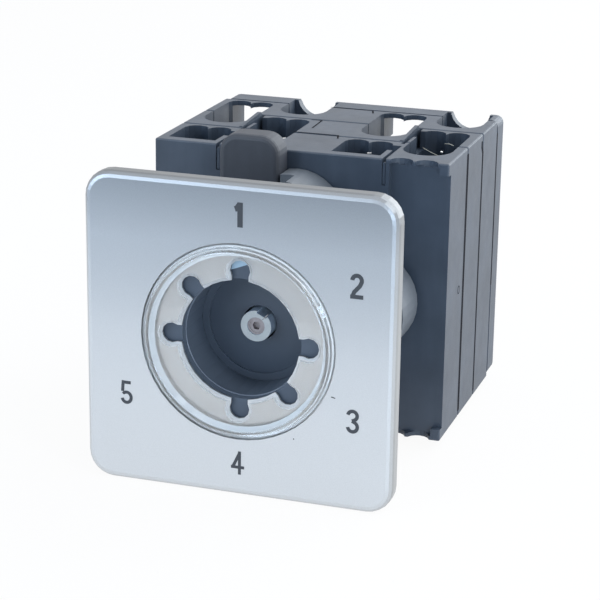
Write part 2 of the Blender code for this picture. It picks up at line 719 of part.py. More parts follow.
def channel_edge(start):
    """Depth of the middle of a channel's round wire guides."""
    return start + CELL_PITCH - CHANNEL_END - GUIDE_RADIUS


def both_ends(maker, name, low, high, target):
    """Cuts the same shape from the top and from the underside."""
    for label, (a, b) in (("top", (low, high)), ("bottom", (-high, -low))):
        cut(target, maker(f"{name}_{label}", a, b))


def make_cell(stage):
    start = stage_start(stage)
    near = BODY_FRONT if stage == 1 else start
    far = start + CELL_PITCH - GAP
    over = HALF_HEIGHT + FRONT_WALL
    cell = box(f"cell_{stage}", (-HALF_WIDTH, near, -HALF_HEIGHT), (HALF_WIDTH, far, HALF_HEIGHT), BLACK)
    bevel(cell, SLAB_EDGE)
    pocket = box(f"pocket_{stage}", (-POCKET_HALF_WIDTH, start + CELL_WEB, -POCKET_HALF_HEIGHT),
                 (POCKET_HALF_WIDTH, far + CELL_WEB, POCKET_HALF_HEIGHT))
    hole = rod(f"shaft_hole_{stage}", SHAFT_SQUARE * 0.75, near - CELL_WEB, far, steps=24)
    cut(cell, pocket, hole)
    for x in own_subs(stage):
        outline = well_outline(x, start)
        both_ends(lambda n, a, b: plan_plate(n, [outline], a, b), f"well_{stage}_{x > 0}",
                  WELL_FLOOR, over, cell)
        side = 1 if x > 0 else -1
        depth = start + WELL_CENTRE
        half = STRIP_HALF_WIDTH + GAP
        leg = sorted((side * (STRIP_AT - GAP), side * (STRIP_FACE + GAP)))
        tab = sorted((side * (STRIP_AT + STRIP_FACE) / 2, x))
        both_ends(lambda n, a, b: box(n, (leg[0], depth - half, a), (leg[1], depth + half, b)),
                  f"strip_slot_{stage}_{x > 0}", POCKET_HALF_HEIGHT - GAP, TAB_TOP + GAP, cell)
        both_ends(lambda n, a, b: box(n, (tab[0], depth - half, a), (tab[1], depth + half, b)),
                  f"tab_slot_{stage}_{x > 0}", TAB_LEVEL - GAP, TAB_TOP + GAP, cell)
    for x in free_subs(stage):
        outline = channel_outline(x, start if stage == 1 else start - GAP, start)
        both_ends(lambda n, a, b: plan_plate(n, [outline], a, b), f"channel_{stage}_{x > 0}",
                  CHANNEL_FLOOR, over, cell)
        if stage == CELLS:
            half = WELL_HALF - GAP
            both_ends(lambda n, a, b: box(n, (x - half, far - CELL_WEB * 3, a), (x + half, far + GAP, b)),
                      f"way_out_{x > 0}", CHANNEL_FLOOR + GAP / 2, HALF_HEIGHT - BRIDGE_THICK, cell)
    for side in (-1, 1):
        bolt = rod(f"bolt_hole_{stage}_{side}", BOLT_RADIUS + GAP, near - CELL_WEB, far + CELL_WEB, steps=16)
        bolt.location = (side * BOLT_OFFSET, 0, side * BOLT_HEIGHT)
        cut(cell, bolt)
    if stage < CELLS:
        slit_walls(cell, stage)
    if stage == 1:
        shape_front(cell)


def slit_walls(cell, stage):
    """Slits the walls between the columns, which leaves thin bars and, on the second cell, raised ribs."""
    seam = stage_start(2)
    over = HALF_HEIGHT + FRONT_WALL
    half = RIB_GROOVE / 2
    for side, line in rib_lines():
        both_ends(lambda n, a, b: box(n, (line - half, seam - RIB_LEAD, a),
                                      (line + half, seam + CELL_PITCH, b)),
                  f"rib_groove_{stage}_{side}", RIB_FLOOR, over, cell)
        if stage == 2:
            well = line + 2 * SUB_WALL_HALF
            both_ends(lambda n, a, b: box(n, (line, seam + BAR_REACH, a),
                                          (well, channel_edge(seam) + GUIDE_RADIUS / 2, b)),
                      f"bar_end_{side}", RIB_FLOOR, over, cell)
            raise_ribs(cell, side, line - half)


def rib_lines():
    return [(side, side * SUB_WALL + RIB_SHIFT) for side in (-1, 1)]


def raise_ribs(cell, side, edge):
    """A rib whose top rises towards its round rear end, at the top and at the underside."""
    front = stage_start(2) + GAP
    rear = stage_start(3) - GAP - SLAB_EDGE
    high = HALF_HEIGHT + RIB_RISE
    foot = HALF_HEIGHT - RIB_GROOVE_DEPTH / 2
    outline = [(front, foot), (rear, foot)]
    outline += arc((rear - RIB_NOSE, high - RIB_NOSE), RIB_NOSE, 0, 90, 4)
    outline.append((front, HALF_HEIGHT + GAP / 3))
    for end in (1, -1):
        join(cell, side_plate(f"rib_{side}_{end}", [(depth, end * z) for depth, z in outline],
                              edge - RIB_THICK - GAP / 6, edge - GAP / 6))


def shape_front(cell):
    """Recesses under a lip with two round wire guides, and a bar beside each slit from the front."""
    over = HALF_HEIGHT + FRONT_WALL
    lip = HALF_HEIGHT - FRONT_LIP
    for x in own_subs(1):
        recess = box(f"front_recess_{x > 0}", (x - WELL_HALF, BODY_FRONT - FRONT_WALL, -lip),
                     (x + WELL_HALF, BODY_FRONT + FRONT_RECESS, lip))
        cut(cell, recess)
        for offset in (-GUIDE_RADIUS, GUIDE_RADIUS):
            both_ends(lambda n, a, b: upright(n, GUIDE_RADIUS - GAP / 2, a, b, x + offset, BODY_FRONT - GAP),
                      f"front_guide_{x > 0}_{offset > 0}", lip - GAP, over, cell)
    half = RIB_GROOVE / 2
    bar_end = BODY_FRONT + FRONT_BAR
    for side, line in rib_lines():
        groove = box(f"front_groove_{side}", (line - half, BODY_FRONT - RIB_GROOVE,
                                              HALF_HEIGHT - FRONT_GROOVE_LENGTH),
                     (line + half, BODY_FRONT + RIB_GROOVE, over))
        cut(cell, groove)
        both_ends(lambda n, a, b: box(n, (line - half, BODY_FRONT - RIB_GROOVE, a),
                                      (line + half, bar_end, b)),
                  f"front_slit_{side}", RIB_FLOOR, over, cell)
        both_ends(lambda n, a, b: box(n, (line - 2 * SUB_WALL_HALF, bar_end - GAP, a),
                                      (line + half, channel_edge(FIRST_STAGE), b)),
                  f"front_bar_end_{side}", RIB_FLOOR, over, cell)
    outer = max(own_subs(1)) + WELL_HALF
    corner = box("front_corner", (outer - GAP, BODY_FRONT - FRONT_WALL, CORNER_TAB - HALF_HEIGHT),
                 (HALF_WIDTH + FRONT_WALL, BODY_FRONT + FRONT_RECESS, HALF_HEIGHT - CORNER_TAB))
    cut(cell, corner)


def make_end_plate():
    near, far = BODY_END, REAR_FACE
    outline = []
    for turn, (sx, sz) in zip((0, 90, 180, 270), ((1, 1), (-1, 1), (-1, -1), (1, -1))):
        centre = (sx * (HALF_WIDTH - END_CORNER), sz * (HALF_HEIGHT - END_CORNER))
        outline += arc(centre, END_CORNER, turn, turn + 90, 4)
    plate = front_plate("end_plate", [outline], near, far, BLACK)
    round_face_edge(plate.data, far, END_EDGE)
    journal = rod("end_journal", REAR_JOURNAL_RADIUS + RUN, near - GAP, SHAFT_END + GAP, steps=24)
    core = rod("end_core", SHAFT_SQUARE * 0.75, near - GAP, SQUARE_END + GAP, steps=24)
    cut(plate, journal, core)
    for x in own_subs(CELLS):
        for end in (-1, 1):
            scoop = rod(f"scoop_{x > 0}_{end}", SCOOP_RADIUS, near - END_PLATE, far + END_PLATE, steps=24)
            scoop.location = (x, 0, end * (HALF_HEIGHT + SCOOP_RADIUS - SCOOP_DEPTH))
            cut(plate, scoop)
        both_ends(lambda n, a, b: box(n, (x - WELL_HALF, near - END_PLATE, a),
                                      (x + WELL_HALF, far - SCOOP_WALL, b)),
                  f"scoop_room_{x > 0}", SCOOP_FLOOR, HALF_HEIGHT + END_PLATE, plate)
    for x in free_subs(CELLS):
        both_ends(lambda n, a, b: box(n, (x - WELL_HALF, near - END_PLATE, a),
                                      (x + WELL_HALF, far + END_PLATE, b)),
                  f"window_{x > 0}", CHANNEL_FLOOR, HALF_HEIGHT - BRIDGE_THICK, plate)
    for side in (-1, 1):
        hole = rod(f"end_bolt_hole_{side}", BOLT_RADIUS + GAP, near - END_PLATE, far + END_PLATE, steps=16)
        seat = rod(f"end_bolt_seat_{side}", BOLT_HEAD_RADIUS + GAP, far - BOLT_HEAD - GAP, far + END_PLATE,
                   steps=20)
        for tool in (hole, seat):
            tool.location = (side * BOLT_OFFSET, 0, side * BOLT_HEIGHT)
        cut(plate, hole, seat)


def make_tie_bolts():
    """Two long screws that hold the cells and the end plate to the latch housing."""
    head = REAR_FACE - BOLT_HEAD
    tip = STOP_FACE + GAP
    for side, label in ((1, "top"), (-1, "bottom")):
        bolt = turned(f"tie_bolt_{label}", [(0, tip), (BOLT_RADIUS, tip), (BOLT_RADIUS, head),
                                            (BOLT_HEAD_RADIUS, head), (BOLT_HEAD_RADIUS, REAR_FACE),
                                            (0, REAR_FACE)], STEEL, steps=20)
        bolt.location = (side * BOLT_OFFSET, 0, side * BOLT_HEIGHT)
        slot = box(f"tie_bolt_slot_{label}",
                   (-BOLT_HEAD_RADIUS * 2, REAR_FACE - BOLT_HEAD / 2, -SCREW_SLOT / 2),
                   (BOLT_HEAD_RADIUS * 2, REAR_FACE + BOLT_HEAD, SCREW_SLOT / 2))
        slot.location = bolt.location
        cut(bolt, slot)


def make_cam(stage):
    """One notch, which faces the left contact in the position that has the stage's number."""
    clock = 270 - (stage - 1) * POSITION_STEP
    middle = clock_to_angle(clock)
    half = CAM_NOTCH_ANGLE / 2
    floor = CAM_RADIUS - CONTACT_TRAVEL - RUN
    outline = arc((0, 0), floor, middle - half / 2, middle + half / 2, 4)
    outline += arc((0, 0), CAM_RADIUS, middle + half, middle + 360 - half, 30)
    depth = stage_start(stage) + WELL_CENTRE
    front_plate(f"cam_{stage}", [outline, square(SHAFT_SQUARE + 2 * GAP)], depth - CAM_THICK / 2,
                depth + CAM_THICK / 2, IVORY)


def make_contact(stage, side, label):
    """The pusher, the bridge that it carries and the spring behind them, on one side of the shaft."""
    depth = stage_start(stage) + WELL_CENTRE
    tag = f"{stage}_{label}"
    shoulder = PUSHER_TIP + PUSHER_HALF_HEIGHT
    outline = [(PUSHER_END, -PUSHER_HALF_HEIGHT), (PUSHER_END, PUSHER_HALF_HEIGHT),
               (shoulder, PUSHER_HALF_HEIGHT)]
    outline += arc((shoulder, 0), PUSHER_HALF_HEIGHT, 90, 270, 8)[1:-1]
    outline += [(shoulder, -PUSHER_HALF_HEIGHT)]
    pusher = front_plate(f"pusher_{tag}", [[(side * x, z) for x, z in outline]], depth - PUSHER_HALF_WIDTH,
                         depth + PUSHER_HALF_WIDTH, IVORY)
    reach = sorted((side * (BRIDGE_FACE - GAP), side * (BRIDGE_BACK + GAP)))
    window = box(f"pusher_window_{tag}", (reach[0], depth - BRIDGE_HALF_WIDTH - GAP, -PUSHER_END),
                 (reach[1], depth + BRIDGE_HALF_WIDTH + GAP, PUSHER_END))
    cut(pusher, window)
    make_bridge(tag, side, depth)
    spring = coil_mesh(f"contact_spring_{tag}", POCKET_HALF_WIDTH - PUSHER_END - 2 * GAP, COIL_RADIUS)
    place_coil(spring, side, PUSHER_END + GAP, depth, f"contact_spring_{tag}")
    for end, name in ((1, "top"), (-1, "bottom")):
        make_terminal(stage, side, end, f"{tag}_{name}")


def rivet(name, side, face, depth, height):
    """A contact rivet that stands along X from a face, towards the shaft or away from it."""
    low, high = sorted((face[0], face[1]))
    bm = bmesh.new()
    bmesh.ops.create_cone(bm, cap_ends=True, segments=12, radius1=RIVET_RADIUS, radius2=RIVET_RADIUS,
                          depth=high - low)
    bmesh.ops.rotate(bm, matrix=Matrix.Rotation(math.radians(90), 3, "Y"), verts=bm.verts)
    bmesh.ops.translate(bm, vec=(side * (low + high) / 2, depth, height), verts=bm.verts)
    return add_object(name, to_mesh(bm, name))


def make_bridge(tag, side, depth):
    reach = sorted((side * BRIDGE_FACE, side * BRIDGE_BACK))
    bridge = box(f"bridge_{tag}", (reach[0], depth - BRIDGE_HALF_WIDTH, -BRIDGE_HALF_LENGTH),
                 (reach[1], depth + BRIDGE_HALF_WIDTH, BRIDGE_HALF_LENGTH), BRASS)
    for end in (-1, 1):
        face = (BRIDGE_FACE - RIVET_HEIGHT, BRIDGE_FACE + BRIDGE_BAR / 2)
        join(bridge, rivet(f"bridge_rivet_{tag}_{end}", side, face, depth, end * RIVET_AT))


def make_terminal(stage, side, end, tag):
    """A fixed contact strip: its foot faces the bridge, and its tab lies under the terminal screw."""
    depth = stage_start(stage) + WELL_CENTRE
    column = [x for x in own_subs(stage) if x * side > 0][0]
    leg_x = sorted((side * STRIP_AT, side * STRIP_FACE))
    leg_z = sorted((end * STRIP_FOOT, end * TAB_TOP))
    leg = box(f"terminal_{tag}", (leg_x[0], depth - STRIP_HALF_WIDTH, leg_z[0]),
              (leg_x[1], depth + STRIP_HALF_WIDTH, leg_z[1]), BRASS)
    outward = abs(column) > SUB_WALL
    near, far = (STRIP_AT, abs(column) + TAB_REACH) if outward else (abs(column) - TAB_REACH, STRIP_FACE)
    tab_x = sorted((side * near, side * far))
    tab_z = sorted((end * TAB_LEVEL, end * TAB_TOP))
    tab = box(f"tab_{tag}", (tab_x[0], depth - STRIP_HALF_WIDTH, tab_z[0]),
              (tab_x[1], depth + STRIP_HALF_WIDTH, tab_z[1]))
    face = (STRIP_AT + STRIP_THICK / 2, CLOSED_FACE)
    pad = rivet(f"terminal_rivet_{tag}", side, face, depth, end * RIVET_AT)
    hole = upright(f"tab_hole_{tag}", SCREW_RADIUS + GAP, tab_z[0] - GAP, tab_z[1] + GAP, column, depth)
    join(leg, tab, pad)
    cut(leg, hole)
    make_terminal_screw(tag, column, depth, end)


def make_terminal_screw(tag, x, depth, end):
    """A slotted screw that stands in the well, its head above the tab."""
    seat = TAB_TOP + GAP
    foot = WELL_FLOOR + GAP
    low, high = sorted((end * foot, end * (seat + SCREW_HEAD / 2)))
    shank = upright(f"shank_{tag}", SCREW_RADIUS, low, high, x, depth)
    low, high = sorted((end * seat, end * (seat + SCREW_HEAD)))
    screw = upright(f"terminal_screw_{tag}", SCREW_HEAD_RADIUS, low, high, x, depth, STEEL, steps=16)
    low, high = sorted((end * (seat + SCREW_HEAD / 2), end * (seat + 2 * SCREW_HEAD)))
    slot = box(f"screw_slot_{tag}", (x - 2 * SCREW_HEAD_RADIUS, depth - SCREW_SLOT / 2, low),
               (x + 2 * SCREW_HEAD_RADIUS, depth + SCREW_SLOT / 2, high))
    join(screw, shank)
    cut(screw, slot)


make_clear_ring()
make_legend_plate()
make_mounting_base()
make_panel_pieces()
make_latch_housing()
make_lock_slide()
make_shaft()
make_shaft_screw()
make_drive_disc()
make_stop_disc()
make_latch_mechanism()
for number in range(1, CELLS + 1):
    make_cell(number)
    make_cam(number)
make_end_plate()
make_tie_bolts()
# The last stage's right-hand chamber stays empty: five positions need five contacts
for number in range(1, CELLS + 1):
    make_contact(number, -1, "left")
    if number < CELLS:
        make_contact(number, 1, "right")
for part in PARTS.objects:
    if part.type == "MESH" and not part.name.startswith(("contact_spring", "detent_spring")):
        soften(part.data)
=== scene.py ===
"""Looks of the cam switch: finishes, numbers, small mouldings, light and camera.

Lengths are in millimetres unless a comment says otherwise. Places are x, depth and height from the
middle of the legend plate's rear face, along the part's own axes: X to the right, depth to the rear
and height up.
"""

import json
import math

import bmesh
import bpy
from mathutils import Matrix, Vector


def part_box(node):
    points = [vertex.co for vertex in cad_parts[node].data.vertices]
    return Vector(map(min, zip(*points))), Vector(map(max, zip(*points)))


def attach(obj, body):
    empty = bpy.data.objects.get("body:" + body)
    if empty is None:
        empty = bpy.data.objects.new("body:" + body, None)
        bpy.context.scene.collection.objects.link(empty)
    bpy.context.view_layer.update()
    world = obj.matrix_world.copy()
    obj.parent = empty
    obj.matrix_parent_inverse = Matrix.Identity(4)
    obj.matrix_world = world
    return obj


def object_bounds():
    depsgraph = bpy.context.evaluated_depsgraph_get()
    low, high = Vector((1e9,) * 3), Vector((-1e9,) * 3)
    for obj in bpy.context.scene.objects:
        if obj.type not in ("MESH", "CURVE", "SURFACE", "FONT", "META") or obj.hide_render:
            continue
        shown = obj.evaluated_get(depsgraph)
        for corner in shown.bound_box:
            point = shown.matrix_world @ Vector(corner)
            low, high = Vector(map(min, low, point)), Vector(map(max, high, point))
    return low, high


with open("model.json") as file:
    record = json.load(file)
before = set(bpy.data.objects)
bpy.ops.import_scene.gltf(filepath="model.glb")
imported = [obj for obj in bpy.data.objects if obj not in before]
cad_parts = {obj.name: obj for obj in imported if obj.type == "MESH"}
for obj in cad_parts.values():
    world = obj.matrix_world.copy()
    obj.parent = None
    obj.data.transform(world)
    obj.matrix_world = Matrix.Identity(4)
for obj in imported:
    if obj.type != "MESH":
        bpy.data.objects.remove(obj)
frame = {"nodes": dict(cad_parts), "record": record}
cad_box = [list(corner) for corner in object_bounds()]

MM = 0.001

# Camera, as solved from the photographed corners of the plate and the body; angles in degrees
IMAGE_SIZE = 600
FOCAL_PIXELS = 2033.0
SENSOR = 36.0
CAMERA_AZIMUTH = 18.0
CAMERA_ELEVATION = 17.64
CAMERA_ROLL = 0.84
CAMERA_DISTANCE = 298.7
SHAFT_PIXEL = (243.0, 337.6)
NEAR_CLIP = 10.0

# Numbers printed on the legend plate: (x, height) of their middles, and how bold each one is
NUMBER_HEIGHT = 3.7
NUMBER_WIDTH = 1.95
NUMBER_STROKE = 0.54
NUMBER_PLACES = {"1": (0.2, 19.35), "2": (18.02, 10.62), "3": (17.83, -9.88), "4": (0.19, -18.78),
                 "5": (-17.52, -9.9)}
NUMBER_WEIGHTS = {"1": 1.55, "2": 1.15, "3": 1.0, "4": 0.88, "5": 0.93}
INK_LIFT = 0.02
INK_LAYER = 0.004

# Specks on the plate, and the dimple on the flank, drawn as a ring of painted shade
SPECKS = (((14.5, -6.5), (15.15, -6.65)), ((8.85, -13.7), (8.95, -13.9)))
DIMPLE_DEPTH = 34.3
DIMPLE_RADIUS = 0.6
MARK_WIDTH = 0.16

# Rounded bead on the clear ring's crest
BEAD_RADIUS = 13.95
BEAD_HALF_WIDTH = 0.36
BEAD_RISE = 0.2
BEAD_GAP = 0.02

# Retaining ring at the drive disc's rim, and the fine step in the bore's wall
BORE_RADIUS = 10.0
RETAINER_INSIDE_RIM = 0.6
RETAINER_OUTSIDE_RIM = 0.53
RETAINER_SETBACK = 0.1
RETAINER_THICKNESS = 0.3
STEP_DEPTH = 1.9
STEP_ROOT = 0.04
STEP_RISE = 0.08
STEP_HALF_FOOT = 0.14
STEP_HALF_CREST = 0.06

# Bright edge of the key notch, and the seat around the screw in the shaft's end
KEY_EDGE_CLOCK = 43.0
KEY_EDGE_RADII = (1.5, 2.2, 2.8)
KEY_EDGE_LIFT = 0.05
KEY_EDGE_WIRE = 0.07
SEAT_INNER = 1.08
SEAT_OUTER = 1.42
SEAT_FRONT = 0.2
SEAT_REAR = 0.26

# Ribs in the upright grooves of the body's front, and a pale sheet of painted light in the upper
# notch
RIB_LINES = {"left": -13.4, "right": 13.7}
RIB_HALF_WIDTH = 0.21
RIB_LOW = 18.4
RIB_HIGH = 21.7
RIB_THICKNESS = 0.42
RIB_SETBACK = 0.12
NOTCH_LIGHT_OUTLINE = ((-2.0, 10.35), (2.0, 11.9), (2.0, 13.6), (-2.0, 13.6))
NOTCH_LIGHT_THICKNESS = 0.06
NOTCH_LIGHT_SETBACK = 0.4

# Painted shadow of the parting grooves on the flank, laid as dark strips: the second steps forward
# near the top, the third ends half way down
GROOVE_TOP_MARGIN = 1.1
GROOVE_LOW_MARGIN = 1.0
GROOVE_WIDTHS = (1.1, 0.75, 0.6)
JOG = 0.8
JOG_LOW = 19.3
JOG_HIGH = 20.5
LAST_GROOVE_LOW = -6.0
LAST_GROOVE_DROP = 1.0

# Painted shade of the parting line on the top, laid as dark strips. For each seam: how far behind
# it
# # the line starts, the x of its turn and of its end, and how far behind the seam it ends
TOP_SEAM_LEFT = -5.0
TOP_SEAM_WIDTH = 0.28
TOP_SEAM_COURSES = ((0.4, 2.5, 3.1, -1.8), (-0.5, -3.2, -3.0, -6.4), (-0.4, 2.5, 3.1, -2.4))

# Clamps: depths at which their bright edges show in the right, left and middle wells
RIGHT_CLAMP_BEHIND_SEAM = 6.6
LEFT_CLAMP_DEPTH = 37.1
MIDDLE_CLAMP_DEPTH = 34.4
CLAMP_WIRE = 0.06

# Mesh code
SKIN = 0.02
SHARP_ANGLE = 35.0
MITRE_LIMIT = 0.35

# Floor, card in front and light; floor size and lamp sizes in metres, lamp powers in watts
FLOOR_SIZE = 4.0
FLOOR_GAP = 0.02
FLOOR_TONE = (0.8, 0.8, 0.8)
FLOOR_GLOW = 0.94
CARD_FRONT = 78.0
CARD_DEPTH = 420.0
CARD_WIDTH = 900.0
CARD_LIFT = 1.0
CARD_TONE = (0.05, 0.055, 0.065)
MATT = 0.9
WORLD_LIGHT = 0.52
LIGHT_TINT = (0.90, 0.96, 1.0)
AMBIENT_TINT = (0.64, 0.81, 1.0)
LIGHT_AIM = (0, 25, 0)

# Lamps: name, place, sides, power and tint
LAMPS = (("key_right", (310, 330, 200), (0.8, 0.8), 4.9, LIGHT_TINT),
         ("fill_front", (-330, -380, 100), (0.4, 0.4), 2.0, AMBIENT_TINT),
         ("table_glow", (190, -330, 0), (0.4, 0.03), 0.6, AMBIENT_TINT),
         ("top", (0, 60, 460), (0.4, 0.4), 0.45, LIGHT_TINT),
         ("glint_right", (290, -190, 290), (0.08, 0.08), 0.4, LIGHT_TINT))

PLATE_LOW, PLATE_HIGH = (Vector(corner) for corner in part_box("legend_plate"))
ORIGIN = Vector(((PLATE_LOW.x + PLATE_HIGH.x) / 2, PLATE_HIGH.y,
                 (PLATE_LOW.z + PLATE_HIGH.z) / 2))
PLATE_FACE = (PLATE_LOW.y - PLATE_HIGH.y) / MM


def at(x, depth, height):
    """A place given in millimetres, in the scene's metres."""
    return ORIGIN + Vector((x, depth, height)) * MM


def box_mm(name):
    """A node's box in millimetres from the origin of places."""
    return [(Vector(corner) - ORIGIN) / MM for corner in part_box(name)]


BODY_SIDE = box_mm("cell_1")[1].x
BODY_TOP = box_mm("cell_1")[1].z
BODY_FRONT = box_mm("cell_1")[0].y
SEAMS = [(box_mm(before)[1].y + box_mm(after)[0].y) / 2
         for before, after in (("cell_1", "cell_2"), ("cell_2", "cell_3"), ("cell_3", "end_plate"))]
RING_FACE = box_mm("clear_ring")[0].y
BASE_FACE = box_mm("mounting_base")[0].y
DISC_LOW, DISC_HIGH = box_mm("drive_disc")
SHAFT_FACE = box_mm("shaft")[0].y


# ---- finishes --------------------------------------------------------------------------------

# Mouldings: sizes and depths of their texture, and how far clouds and dust reach into the colour
GRAIN = 0.16
GRAIN_DEPTH = 0.012
FINE_GRAIN_DEPTH = 0.010
SINK = 2.4
SINK_DEPTH = 0.01
CLOUD = 9.0
STREAK = 1.6
STREAK_STRETCH = 9
GLOSS_PATCH = 3.0
NOISE_ROUGHNESS = 0.55
CLOUD_REACH = (-0.4, 1.4)
DUST_REACH = (-0.25, 1.1)
DUST_GAIN = 1.7
DUST_LIFT = 0.01

# Colours as (darkest, lightest), and ranges of roughness
# Painted light: the bore's walls are lighter than its faces, standing in for the stray light they
# catch
BORE_WALLS_PAINTED_LIGHT = ((0.095, 0.116, 0.150), (0.115, 0.137, 0.173))
BORE_FACES = ((0.046, 0.060, 0.084), (0.058, 0.073, 0.098))
BORE_ROUGHNESS = (0.45, 0.58)
SHAFT_END = ((0.35, 0.36, 0.36), (0.48, 0.49, 0.48))
# Painted light: the shaft's side is lighter and bluer than its end, standing in for the light
# reaching it in the bore
SHAFT_SIDE_PAINTED_LIGHT = ((0.56, 0.63, 0.72), (0.62, 0.69, 0.78))
SHAFT_ROUGHNESS = (0.45, 0.6)
INK_TONES = ((0.022, 0.024, 0.029), (0.042, 0.045, 0.053))
INK_ROUGHNESS = 0.55
INK_MOTTLE = 0.3
INK_GRAIN = 0.08
INK_GRAIN_DEPTH = 0.001

# Metals: sizes and depth of their texture
METAL_MOTTLE = 1.2
METAL_GLOSS_PATCH = 0.5
METAL_GRAIN = 0.1
METAL_GRAIN_DEPTH = 0.002

# Silver lacquer: colour by height on the plate, darker towards the top as painted shade for the
# room's
# # darker side that the plate reflects, and a darker tone on its side, which is painted shade too
SILVER_PAINTED_SHADE_BY_HEIGHT = ((0.0, (0.61, 0.622, 0.635)), (0.5, (0.615, 0.628, 0.645)),
                    (0.8, (0.53, 0.546, 0.568)), (1.0, (0.32, 0.335, 0.357)))
SILVER_SIDE_PAINTED_SHADE = ((0.3, (0.67, 0.665, 0.655)), (0.95, (1.0, 1.0, 1.0)))
SILVER_SPECKLE = ((0.35, 0.93), (0.65, 1.0))
SILVER_ROUGHNESS = (0.30, 0.42)
SPECKLE = 0.12
LACQUER_GLOSS_PATCH = 0.25
LACQUER_GRAIN = 0.14
LACQUER_GRAIN_DEPTH = 0.0016
LACQUER_WAVE = 6.0
LACQUER_WAVE_DEPTH = 0.006

# Clear moulding: tint in cloudy patches, and frosting and clearness by facing
CLEAR_IOR = 1.49
CLEAR_TINT = ((0.3, (0.93, 0.94, 0.945)), (0.7, (0.97, 0.975, 0.975)))
FROST_BY_FACING = ((0.25, 0.45), (0.45, 0.0))
CLEARNESS_BY_FACING = ((0.2, 0.25), (0.8, 0.55), (0.95, 1.0))
CLEAR_PATCH = 5.0
CLEAR_SMEAR = 1.5
CLEAR_SMEAR_ROUGHNESS = (0.01, 0.06)
CLEAR_WAVE = 3.0
CLEAR_WAVE_DEPTH = 0.006


class Finish:
    """Builds one material's node tree; every texture is fixed to the object's own coordinates."""

    def __init__(self, name, roughness, metallic=0.0):
        self.material = bpy.data.materials.new(name)
        self.material.use_nodes = True
        self.tree = self.material.node_tree
        self.shader = self.tree.nodes["Principled BSDF"]
        self.set(Metallic=metallic, Roughness=roughness)
        self.place = self.node("ShaderNodeTexCoord").outputs["Object"]

    def node(self, kind, **values):
        made = self.tree.nodes.new(kind)
        for name, value in values.items():
            setattr(made, name, value)
        return made

    def link(self, start, end):
        self.tree.links.new(start, end)

    def set(self, **values):
        for name, value in values.items():
            self.shader.inputs[name.replace("_", " ")].default_value = value

    def noise(self, size, detail=3.0, stretch=(1, 1, 1)):
        """Noise whose features are about `size` across, drawn out along the stretched axes."""
        mapping = self.node("ShaderNodeMapping")
        mapping.inputs["Scale"].default_value = [1 / (size * MM * s) for s in stretch]
        self.link(self.place, mapping.inputs["Vector"])
        texture = self.node("ShaderNodeTexNoise")
        texture.inputs["Scale"].default_value = 1.0
        texture.inputs["Detail"].default_value = detail
        texture.inputs["Roughness"].default_value = NOISE_ROUGHNESS
        self.link(mapping.outputs["Vector"], texture.inputs["Vector"])
        return texture.outputs["Fac"]

    def ramp(self, factor, *stops):
        """A colour or grey for each (position, value) stop."""
        ramp = self.node("ShaderNodeValToRGB")
        elements = ramp.color_ramp.elements
        while len(elements) < len(stops):
            elements.new(0.5)
        for element, (position, value) in zip(elements, stops):
            element.position = position
            element.color = (*value, 1) if isinstance(value, tuple) else (value, value, value, 1)
        self.link(factor, ramp.inputs["Fac"])
        return ramp.outputs["Color"]

    def mix(self, factor, a, b, blend="MIX"):
        """Mixes colours; each of the three is a number, a colour or a socket."""
        mixer = self.node("ShaderNodeMix", data_type="RGBA", blend_type=blend)
        for socket, value in ((0, factor), (6, a), (7, b)):
            if isinstance(value, (int, float)):
                mixer.inputs[socket].default_value = value
            elif isinstance(value, tuple):
                mixer.inputs[socket].default_value = (*value, 1)
            else:
                self.link(value, mixer.inputs[socket])
        return mixer.outputs[2]

    def spread(self, factor, low, high, start=0.0, end=1.0):
        """Takes what lies between start and end to what lies between low and high."""
        mapped = self.node("ShaderNodeMapRange")
        limits = {"From Min": start, "From Max": end, "To Min": low, "To Max": high}
        for name, value in limits.items():
            mapped.inputs[name].default_value = value
        self.link(factor, mapped.inputs["Value"])
        return mapped.outputs["Result"]

    def colour(self, socket):
        self.link(socket, self.shader.inputs["Base Color"])

    def rough(self, factor, low, high):
        self.link(self.spread(factor, low, high), self.shader.inputs["Roughness"])

    def bump(self, *layers):
        """Adds up (height socket, depth) layers."""
        last = None
        for height, depth in layers:
            bump = self.node("ShaderNodeBump")
            bump.inputs["Strength"].default_value = 1.0
            bump.inputs["Distance"].default_value = depth * MM
            self.link(height, bump.inputs["Height"])
            if last:
                self.link(last, bump.inputs["Normal"])
            last = bump.outputs["Normal"]
        self.link(last, self.shader.inputs["Normal"])

    def axis(self, vector, name):
        split = self.node("ShaderNodeSeparateXYZ")
        self.link(vector, split.inputs["Vector"])
        return split.outputs[name]

    def facing(self):
        """One on faces that look along the shaft, zero on walls that run along it."""
        normal = self.node("ShaderNodeNewGeometry").outputs["Normal"]
        size = self.node("ShaderNodeMath", operation="ABSOLUTE")
        self.link(self.axis(normal, "Y"), size.inputs[0])
        return size.outputs["Value"]

    def outside(self, radius, blend=0.2):
        """Zero near the shaft's axis, one beyond a radius."""
        mapping = self.node("ShaderNodeMapping")
        mapping.inputs["Location"].default_value = (-ORIGIN.x, 0, -ORIGIN.z)
        mapping.inputs["Scale"].default_value = (1, 0, 1)
        self.link(self.place, mapping.inputs["Vector"])
        length = self.node("ShaderNodeVectorMath", operation="LENGTH")
        self.link(mapping.outputs["Vector"], length.inputs[0])
        return self.spread(length.outputs["Value"], 0.0, 1.0, radius * MM, (radius + blend) * MM)


